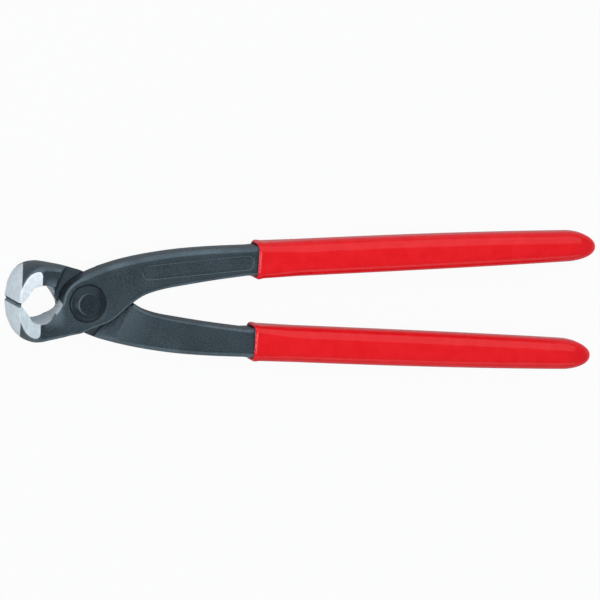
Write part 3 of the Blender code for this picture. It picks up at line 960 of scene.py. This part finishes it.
@dataclass
class Grip:
    """One dipped grip: a skin with a rolled rim, drawn along its handle."""

    body: Body
    pivot: Vector
    start_x: float = 0.0638
    end_x: float = 0.19297
    shank_end_x: float = 0.0603
    start_y: float = 0.01487
    rise: float = 0.0060
    sag: float = 0.00075
    half_width: float = 0.00655
    slimming: float = 0.00135
    half_depth: float = 0.0058
    wall: float = 0.0008
    lip: float = 0.00106
    wall_from: float = 0.004
    lip_from: float = 0.0012
    nose: float = 0.0110
    rim_bulge: float = 0.00025
    rim_reach: float = 0.00110
    rim_shift: float = 0.00102
    rim_length: float = 0.0020
    mouth_round: float = 0.0031
    inner_round: float = 0.0023
    full_round: float = 0.0045
    rounding_run: float = 0.0200
    most_round: float = 0.98
    least_round: float = 0.00001
    corner_steps: int = 8
    lip_steps: int = 8
    rim_steps: int = 6
    body_steps: int = 60
    nose_steps: int = 24
    weld: float = 0.0000005
    tip_drop: dict[Body, float] = field(
        default_factory=lambda: {Body.FRONT: 0.0007, Body.BACK: -0.0003})

    def centre(self, x: float) -> float:
        """Gives the height of the grip's middle line.

        Args:
            x: Place along the handle, from the pivot.

        Returns:
            The height over the tool's axis.
        """
        run = (x - self.shank_end_x) / (self.end_x - self.shank_end_x)
        return self.start_y + self.rise * run - self.sag * run * run

    def outline(self, x: float, share: float, grow: float) -> list[Vector]:
        """Draws the closed outline of one cut across the grip.

        Args:
            x: Place along the handle, from the pivot.
            share: Size against a full cut, which falls to nothing at the nose.
            grow: How far the outline lies outside the grip's own surface.

        Returns:
            The outline's points, about the pivot.
        """
        run = (x - self.shank_end_x) / (self.end_x - self.shank_end_x)
        width = (self.half_width - self.slimming * run ** 3 + grow) * share
        depth = (self.half_depth + grow) * share
        rounder = min(1.0, (x - self.shank_end_x) / self.rounding_run)
        outer = (self.mouth_round + (self.full_round - self.mouth_round) * rounder + grow) * share
        inner = (self.inner_round + (self.full_round - self.inner_round) * rounder + grow) * share
        tip = max(0.0, 1.0 - (self.end_x - x) / self.nose)
        line = self.centre(x) - self.tip_drop[self.body] * tip * tip
        points = []
        for side, face, radius in ((1, 1, outer), (-1, 1, inner), (-1, -1, inner), (1, -1, outer)):
            radius = min(radius, self.most_round * width, self.most_round * depth)
            radius = max(radius, self.least_round)
            first = 0.0 if side * face > 0 else math.pi / 2.0
            for step in range(self.corner_steps + 1):
                turn = abs(first - math.pi / 2.0 * step / self.corner_steps)
                y = side * (width - radius + radius * math.cos(turn))
                z = face * (depth - radius + radius * math.sin(turn))
                points.append(Vector((x, line + y, z)))
        return points

    def stations(self) -> list[tuple[float, float, float]]:
        """Lists the cuts from the inside of the mouth over the rim to the nose.

        Returns:
            For each cut its place, its share and its growth.
        """
        rows = [(self.start_x + self.wall_from, 1.0, -self.wall),
                (self.start_x + self.lip_from, 1.0, -self.lip)]
        middle = (self.rim_bulge - self.lip) / 2.0
        spread = (self.rim_bulge + self.lip) / 2.0
        for step in range(self.lip_steps + 1):
            turn = math.pi * step / self.lip_steps
            x = self.start_x - self.rim_reach * math.sin(turn) + self.rim_shift
            rows.append((x, 1.0, middle - spread * math.cos(turn)))
        for step in range(1, self.rim_steps + 1):
            along = step / self.rim_steps
            bulge = self.rim_bulge * math.cos(math.pi / 2.0 * along) ** 2
            rows.append((self.start_x + self.rim_shift + self.rim_length * along, 1.0, bulge))
        begin = self.start_x + self.rim_shift + self.rim_length
        nose_start = self.end_x - self.nose
        for step in range(1, self.body_steps + 1):
            rows.append((begin + (nose_start - begin) * step / self.body_steps, 1.0, 0.0))
        for step in range(1, self.nose_steps):
            angle = math.pi / 2.0 * step / self.nose_steps
            rows.append((nose_start + self.nose * math.sin(angle), math.cos(angle), 0.0))
        return rows

    def extrude_to(self, shape: bmesh.types.BMesh, ring: list[bmesh.types.BMVert],
                   points: list[Vector]) -> list[bmesh.types.BMVert]:
        """Extrudes the skin's open ring to the next cut.

        Args:
            shape: The skin so far.
            ring: The vertices of its open end, in order.
            points: The next outline, in the same order.

        Returns:
            The vertices of the new open end, in order.
        """
        loop = list(dict.fromkeys(
            edge for vert in ring for edge in vert.link_edges
            if edge.verts[0] in ring and edge.verts[1] in ring))
        made = bmesh.ops.extrude_edge_only(shape, edges=loop)["geom"]
        fresh = {item for item in made if isinstance(item, bmesh.types.BMVert)}
        order = []
        for vert, point in zip(ring, points):
            others = (edge.other_vert(vert) for edge in vert.link_edges)
            moved = next(other for other in others if other in fresh)
            moved.co = point
            order.append(moved)
        return order

    def build(self, material: bpy.types.Material) -> bpy.types.Object:
        """Extrudes the skin from cut to cut and closes its nose.

        Args:
            material: The finish.

        Returns:
            The new piece.
        """
        shape = bmesh.new()
        rows = self.stations()
        first = self.outline(*rows[0])
        ring = bmesh.ops.create_circle(
            shape, cap_ends=False, segments=len(first), radius=self.half_width)["verts"]
        for vert, point in zip(ring, first):
            vert.co = point
        for row in rows[1:]:
            ring = self.extrude_to(shape, ring, self.outline(*row))
        tip_y = self.centre(self.end_x) - self.tip_drop[self.body]
        bmesh.ops.pointmerge(shape, verts=ring, merge_co=Vector((self.end_x, tip_y, 0.0)))
        bmesh.ops.remove_doubles(shape, verts=shape.verts, dist=self.weld)
        bmesh.ops.recalc_face_normals(shape, faces=shape.faces)
        if self.body.turned_over:
            half_turn = Matrix.Rotation(math.pi, 3, "X")
            bmesh.ops.rotate(shape, verts=shape.verts, cent=(0.0, 0.0, 0.0), matrix=half_turn)
        bmesh.ops.translate(shape, verts=shape.verts, vec=self.pivot)
        name = self.body.grip
        mesh = new_mesh(name + "_skin", shape, material)
        mesh.shade_smooth()
        piece = link_new(mesh.name, mesh)
        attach(piece, self.body.value)
        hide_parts(name)
        return piece


@dataclass(frozen=True)
class Softbox:
    """One rectangular lamp: where it hangs, what it faces, its size and its surface brightness."""

    name: str
    place: Place
    aim: Place
    size: tuple[float, float]
    radiance: float


@dataclass
class Studio:
    """Pale floor, soft lamps and the camera at the photograph's angle."""

    pivot: Vector
    target_shift: Place = (0.08183, 0.00015, 0.0)
    back: Place = (-0.306, 0.1575, 0.939)
    right: Place = (0.952, 0.0506, 0.3018)
    roll_degrees: float = 0.2
    width: float = 0.2165
    lens: float = 1400.0
    sensor: float = 36.0
    clip_end: float = 30.0
    floor_half: float = 3.0
    floor_drop: float = 0.0001
    floor_colour: Colour = (0.50, 0.52, 0.54)
    floor_roughness: float = 0.9
    floor_sheen: float = 0.1
    floor_glow: float = 0.95
    mirror_share: float = 0.10
    daylight: Colour = (0.92, 0.97, 1.0)
    world_strength: float = 0.32
    softboxes: tuple[Softbox, ...] = (
        Softbox("top_softbox", (0.0, 0.80, 0.80), (0.0, 0.0, 0.0), (2.4, 1.5), 1.0),
        Softbox("strip_softbox", (-0.25, -0.12, 1.15), (-0.02, 0.0, 0.0), (0.25, 0.9), 6.6),
        Softbox("left_softbox", (-1.1, -0.15, 0.26), (-0.05, 0.0, 0.0), (0.4, 0.5), 5.4),
        Softbox("low_softbox", (0.1, -1.0, 0.40), (0.0, 0.0, 0.0), (1.6, 0.4), 0.9))

    def camera(self) -> None:
        """Places the camera, far off behind a long lens."""
        data = bpy.data.cameras.new("camera")
        data.lens = self.lens
        data.sensor_width = self.sensor
        data.clip_end = self.clip_end
        distance = self.width * self.lens / self.sensor
        camera = link_new("camera", data)
        back = Vector(self.back).normalized()
        right = Vector(self.right)
        right = (right - back * right.dot(back)).normalized()
        turn = Matrix((right, back.cross(right), back)).transposed()
        turn = turn @ Matrix.Rotation(-math.radians(self.roll_degrees), 3, "Z")
        place = self.pivot + Vector(self.target_shift) + back * distance
        camera.matrix_world = Matrix.Translation(place) @ turn.to_4x4()
        bpy.context.scene.camera = camera

    def lamp(self, box: Softbox) -> None:
        """Hangs a softbox.

        Args:
            box: Its place, aim, size and brightness.
        """
        data = bpy.data.lights.new(box.name, "AREA")
        data.shape = "RECTANGLE"
        data.size, data.size_y = box.size
        data.energy = box.radiance * math.pi * box.size[0] * box.size[1]
        data.color = self.daylight
        lamp = link_new(box.name, data)
        lamp.location = box.place
        away = Vector(box.place) - Vector(box.aim)
        lamp.rotation_euler = away.to_track_quat("Z", "Y").to_euler()

    def paper(self) -> bpy.types.Material:
        """Makes the floor's material, which the camera sees as nearly white.

        Returns:
            The material.
        """
        made, graph, shader = new_material("floor_paper")
        shader.inputs["Base Color"].default_value = (*self.floor_colour, 1.0)
        shader.inputs["Roughness"].default_value = self.floor_roughness
        shader.inputs["Specular IOR Level"].default_value = self.floor_sheen
        rays = graph.node("ShaderNodeLightPath").outputs
        mirrored = graph.math("MAXIMUM", rays["Is Glossy Ray"], rays["Is Transmission Ray"])
        mirrored = graph.math("MULTIPLY", mirrored, self.mirror_share)
        seen = graph.math("MAXIMUM", rays["Is Camera Ray"], mirrored)
        glow = graph.node("ShaderNodeEmission")
        glow.inputs["Color"].default_value = (1.0, 1.0, 1.0, 1.0)
        surface = graph.node("ShaderNodeMixShader")
        graph.feed(surface.inputs[0], graph.math("MULTIPLY", seen, self.floor_glow))
        graph.feed(surface.inputs[1], shader.outputs[0])
        graph.feed(surface.inputs[2], glow.outputs[0])
        graph.feed(made.node_tree.nodes["Material Output"].inputs["Surface"], surface.outputs[0])
        return made

    def floor(self) -> None:
        """Lays the floor, a hair under the tool's flats so that the two don't share a plane."""
        shape = bmesh.new()
        bmesh.ops.create_grid(shape, x_segments=1, y_segments=1, size=self.floor_half)
        floor = link_new("floor", new_mesh("floor", shape, self.paper()))
        floor.location = (0.0, 0.0, -self.floor_drop)

    def world(self) -> None:
        """Sets an even world light."""
        world = bpy.data.worlds.new("studio")
        world.use_nodes = True
        ground = world.node_tree.nodes["Background"]
        ground.inputs["Color"].default_value = (*self.daylight, 1.0)
        ground.inputs["Strength"].default_value = self.world_strength
        bpy.context.scene.world = world

    def build(self) -> None:
        """Sets up the camera, the floor and the light."""
        self.camera()
        self.floor()
        self.world()
        for box in self.softboxes:
            self.lamp(box)


def main() -> None:
    """Builds the studio and every piece."""
    logging.basicConfig(level=logging.INFO, format="%(name)s: %(message)s")
    pivot = Vector(frame["joints"][0]["pos_m"])
    bpy.context.scene.view_settings.view_transform = "Standard"
    Studio(pivot).build()

    GroundZones().build(pivot)
    PanelLine().build(pivot)
    ForgingGrain().build()
    BeltStreaks().build()
    forged = ForgedFinish()
    lever_materials = {
        # Painted shade: the front lever's flats take a darker steel than the back lever's.
        Body.FRONT: replace(forged, flat_steel=(0.65, 0.72, 0.76)).material(
            "forged_front", own_side=1.0, panel=True),
        # Deeper painted shade on the back lever's cutting bevels, which lie in shade.
        Body.BACK: replace(forged, bevel_shade=(0.035, 0.045, 0.052)).material(
            "forged_back", own_side=-1.0, panel=False)}
    rivet_material = replace(
        forged, black=(0.008, 0.012, 0.016), black_light=(0.018, 0.026, 0.033), sheen_level=0.35,
        black_roughness=0.27).material("rivet_black", own_side=0.0, panel=False)
    red = DippedFinish().material("dipped_red")

    pieces = []
    for body in Body:
        pieces.append(Lever(body, pivot).build(lever_materials[body]))
        pieces.append(Grip(body, pivot).build(red))
    pieces.append(Rivet(pivot).build(rivet_material))
    for piece in pieces:
        LOG.info("%s: %d faces", piece.name, len(piece.data.polygons))


if __name__ == "__main__":
    main()
